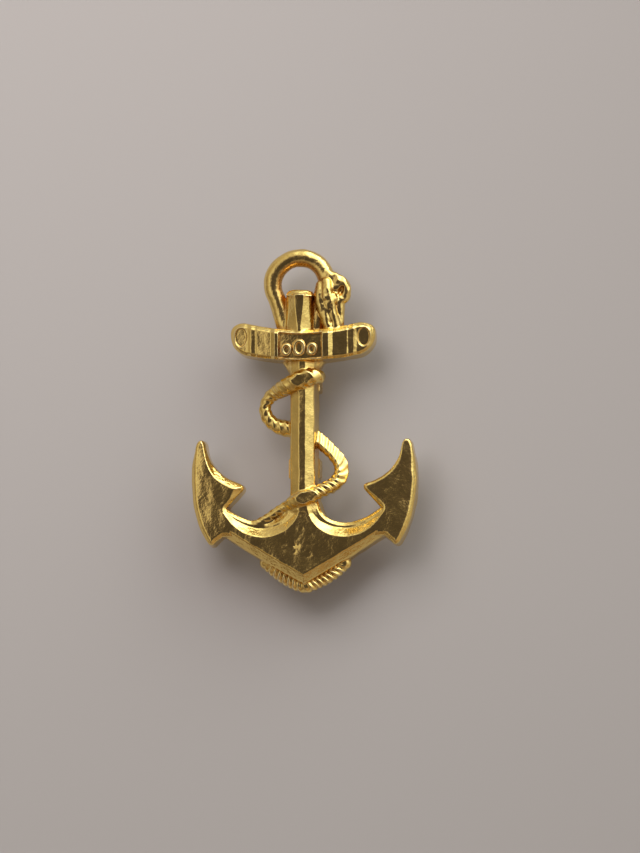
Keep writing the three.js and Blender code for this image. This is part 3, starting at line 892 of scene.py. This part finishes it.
def build_meshes():
    quads, pieces, size = mesh_cells()
    cells, index = np.unique(quads, return_inverse=True)
    quads = index.reshape(quads.shape)
    points, outside = cell_points(cells, size)
    normals = slope(points)
    normals /= np.maximum(np.linalg.norm(normals, axis=1), 1e-6)[:, None]
    places = grid_low + points * STEP
    # Painted shade: this mask turns the gold darker and redder in hollows and on the inside of the
    # ring.
    shade = np.maximum(closeness(points, normals), 0.75 * ring_inside_shade(places, normals))
    bend = curvature(points)
    made = {}
    for name, number in NUMBER.items():
        own = quads[pieces == number]
        used, local = np.unique(own, return_inverse=True)
        local = local.reshape(own.shape)
        mesh = bpy.data.meshes.new(name + "_cast")
        mesh.vertices.add(len(used))
        mesh.vertices.foreach_set("co", (places[used] * MM).astype(np.float32).ravel())
        mesh.loops.add(local.size)
        mesh.loops.foreach_set("vertex_index", local.ravel().astype(np.int32))
        mesh.polygons.add(len(local))
        mesh.polygons.foreach_set("loop_start", np.arange(0, local.size, 4, dtype=np.int32))
        mesh.polygons.foreach_set("use_smooth", np.ones(len(local), bool))
        mesh.update(calc_edges=True)
        mesh.validate()
        for key, values in (("hollow_shade", shade), ("bend", bend)):
            layer = mesh.attributes.new(key, "FLOAT", "POINT")
            layer.data.foreach_set("value", values[used].astype(np.float32))
        # Points on a cut inside the metal have no slope of the field to go by.
        own_normals = normals[used].copy()
        plain = np.empty(len(used) * 3, np.float32)
        mesh.vertices.foreach_get("normal", plain)
        hidden = ~outside[used]
        own_normals[hidden] = plain.reshape(-1, 3)[hidden]
        mesh.normals_split_custom_set_from_vertices([tuple(n) for n in own_normals.tolist()])
        piece = bpy.data.objects.new(name + "_cast", mesh)
        bpy.context.scene.collection.objects.link(piece)
        made[name] = piece
    return made


cast = build_meshes()

# ---- Materials ----
def new_material(name):
    material = bpy.data.materials.new(name)
    material.use_nodes = True
    tree = material.node_tree
    tree.nodes.clear()
    return material, tree


class Nodes:
    """Short ways to add nodes to a tree."""

    def __init__(self, tree):
        self.tree = tree

    def add(self, kind, inputs=None, **settings):
        node = self.tree.nodes.new(kind)
        for key, value in settings.items():
            setattr(node, key, value)
        for key, value in (inputs or {}).items():
            if isinstance(value, bpy.types.NodeSocket):
                self.tree.links.new(value, node.inputs[key])
            else:
                node.inputs[key].default_value = value
        return node

    def noise(self, where, scale, detail=3.0, roughness=0.55):
        node = self.add(
            "ShaderNodeTexNoise",
            {"Vector": where, "Scale": scale, "Detail": detail, "Roughness": roughness},
        )
        return node.outputs["Fac"]

    def math(self, operation, a, b=0.0, clamp=False):
        node = self.add("ShaderNodeMath", {0: a, 1: b}, operation=operation, use_clamp=clamp)
        return node.outputs[0]

    def spread(self, value, low, high, to_low=0.0, to_high=1.0):
        node = self.add(
            "ShaderNodeMapRange",
            {"Value": value, 1: low, 2: high, 3: to_low, 4: to_high},
            interpolation_type="SMOOTHSTEP",
        )
        return node.outputs["Result"]

    def mix(self, factor, a, b):
        node = self.add("ShaderNodeMix", data_type="RGBA")
        for key, value in ((0, factor), (6, a), (7, b)):
            if isinstance(value, bpy.types.NodeSocket):
                self.tree.links.new(value, node.inputs[key])
            else:
                node.inputs[key].default_value = value
        return node.outputs[2]


def gold(name, colour, shade_blotch_colour, worn, rough, bump):
    """Plated gold: painted shade makes it redder in the hollows; paler on worn edges, finely
    pitted.
    """
    material, tree = new_material(name)
    n = Nodes(tree)
    where = n.add("ShaderNodeTexCoord").outputs["Object"]
    hollow_shade = n.add("ShaderNodeAttribute", attribute_name="hollow_shade").outputs["Fac"]
    bend = n.add("ShaderNodeAttribute", attribute_name="bend").outputs["Fac"]
    blotch = n.noise(where, 700.0, 4.0)
    speck = n.noise(where, 3200.0, 3.0)
    # Painted shade: the hollows take the darker, redder colour, as do random blotches.
    hollow_shade_amount = n.spread(hollow_shade, 0.12, 0.75, 0.0, 0.85)
    in_blotches = n.spread(blotch, 0.62, 0.8, 0.0, 0.25)
    shade_and_blotches = n.math("ADD", hollow_shade_amount, in_blotches, clamp=True)
    shade = n.mix(shade_and_blotches, (*colour, 1), (*shade_blotch_colour, 1))
    wear = n.math("MULTIPLY", n.spread(bend, 3.0, 9.0), n.spread(blotch, 0.35, 0.6, 0.2, 0.8))
    shade = n.mix(wear, shade, (*worn, 1))
    dull = n.spread(blotch, 0.35, 0.75, rough, rough + 0.1)
    roughness = n.math("ADD", dull, n.spread(speck, 0.45, 0.8, 0.0, 0.1))
    roughness = n.math("ADD", roughness, n.spread(hollow_shade, 0.2, 0.9, 0.0, 0.12), clamp=True)
    fine = n.add("ShaderNodeBump", {"Height": speck, "Strength": bump, "Distance": 0.0001})
    broad = n.add(
        "ShaderNodeBump",
        {"Height": blotch, "Strength": bump * 0.4, "Distance": 0.00022, "Normal": fine.outputs[0]},
    )
    shader = n.add(
        "ShaderNodeBsdfPrincipled",
        {"Base Color": shade, "Roughness": roughness, "Normal": broad.outputs[0], "Metallic": 1.0},
    )
    n.add("ShaderNodeOutputMaterial", {"Surface": shader.outputs[0]})
    return material


# Colour, darker colour of the painted shade in hollows and of blotches, colour on worn edges,
# roughness and strength of the bumps.
LOOKS = {
    "face_gold": ((0.89, 0.645, 0.21), (0.58, 0.30, 0.08), (0.93, 0.78, 0.44), 0.10, 0.34),
    "rope_gold": ((0.89, 0.645, 0.21), (0.55, 0.28, 0.075), (0.94, 0.80, 0.46), 0.11, 0.25),
    "lug_gold": ((0.86, 0.61, 0.21), (0.55, 0.29, 0.08), (0.90, 0.73, 0.40), 0.18, 0.40),
}
GOLDS = {slot: gold(slot + "_cast", *look) for slot, look in LOOKS.items()}


def slot_of(node):
    if node.startswith(("rope", "stock_bead")):
        return "rope_gold"
    return "lug_gold" if node.endswith("lug") else "face_gold"


for node, piece in cast.items():
    piece.data.materials.append(GOLDS[slot_of(node)])
    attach(piece, "root")
    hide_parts(node)


# ---- Floor and light ----
FLOOR_HALF = 0.6
FLOOR_GAP = 0.0001              # keeps the floor just clear of the lugs
OVERHEAD_AT = (-0.05, 0.09, 0.13)
OVERHEAD_SIZE = 0.12
OVERHEAD_POWER = 0.17
# Ways to the parts of the room.
KEY = (0.55, 0.75, 0.30)
KEY_CORE = (0.5, 0.8, 0.25)
LEFT_LIGHT = (-0.6, 0.05, 0.8)
VIEWER = (0.2, -0.09, 0.97)
CLOTH = (0.1, -1.0, -0.1)


def make_floor():
    material, tree = new_material("floor_pale")
    n = Nodes(tree)
    shader = n.add(
        "ShaderNodeBsdfPrincipled",
        {"Base Color": (0.43, 0.405, 0.40, 1.0), "Roughness": 0.9, "Specular IOR Level": 0.1},
    )
    n.add("ShaderNodeOutputMaterial", {"Surface": shader.outputs[0]})
    mesh = bpy.data.meshes.new("floor")
    corners = [(i * FLOOR_HALF, j * FLOOR_HALF, 0) for i, j in ((-1, -1), (1, -1), (1, 1), (-1, 1))]
    mesh.from_pydata(corners, [], [(0, 1, 2, 3)])
    mesh.materials.append(material)
    floor = bpy.data.objects.new("floor", mesh)
    floor.location.z = cad_low.z - FLOOR_GAP
    bpy.context.scene.collection.objects.link(floor)


def make_world():
    """A soft room: dark where the viewer stands, brighter to the upper right."""
    world = bpy.data.worlds.new("studio")
    bpy.context.scene.world = world
    world.use_nodes = True
    tree = world.node_tree
    tree.nodes.clear()
    n = Nodes(tree)
    way = n.add("ShaderNodeTexCoord").outputs["Generated"]

    def toward(x, y, z):
        aim = Vector((x, y, z)).normalized()
        dot = n.add("ShaderNodeVectorMath", {0: way, 1: aim}, operation="DOT_PRODUCT")
        return dot.outputs["Value"]

    def lobe(aim, sharpness, amount):
        facing = n.math("MAXIMUM", toward(*aim), 0.0)
        return n.math("MULTIPLY", n.math("POWER", facing, sharpness), amount)

    level = n.math("ADD", n.math("MULTIPLY", toward(*KEY), 0.25), 0.42)
    level = n.math("ADD", level, lobe(KEY, 5.0, 1.7))
    level = n.math("ADD", level, lobe(LEFT_LIGHT, 14.0, 0.36))
    viewer = n.spread(toward(*VIEWER), 0.70, 0.94)
    level = n.math("MULTIPLY", level, n.spread(viewer, 0.0, 1.0, 1.0, 0.14))
    level = n.math("ADD", level, lobe(KEY_CORE, 12.0, 2.0))
    # Warm where it is dim, and warmest below, where the room's light comes off the cloth.
    bright = n.spread(level, 0.35, 1.0)
    colour = n.mix(bright, (1.0, 0.86, 0.68, 1.0), (1.0, 1.03, 0.98, 1.0))
    colour = n.mix(n.spread(toward(*CLOTH), 0.1, 0.9), colour, (1.0, 0.72, 0.50, 1.0))
    colour = n.mix(viewer, colour, (1.0, 0.86, 0.95, 1.0))
    back = n.add("ShaderNodeBackground", {"Color": colour, "Strength": level})
    n.add("ShaderNodeOutputWorld", {"Surface": back.outputs[0]})


def make_overhead():
    """This light fills the floor from above, and doesn't show in the gold."""
    data = bpy.data.lights.new("overhead", "AREA")
    data.shape = "RECTANGLE"
    data.size = data.size_y = OVERHEAD_SIZE
    data.energy = OVERHEAD_POWER
    data.color = (1.0, 0.96, 0.95)
    light = bpy.data.objects.new("overhead", data)
    light.location = OVERHEAD_AT
    light.rotation_euler = Vector(OVERHEAD_AT).to_track_quat("Z", "Y").to_euler()
    light.visible_glossy = False
    bpy.context.scene.collection.objects.link(light)


make_floor()
make_world()
make_overhead()
bpy.context.scene.view_settings.view_transform = "Standard"
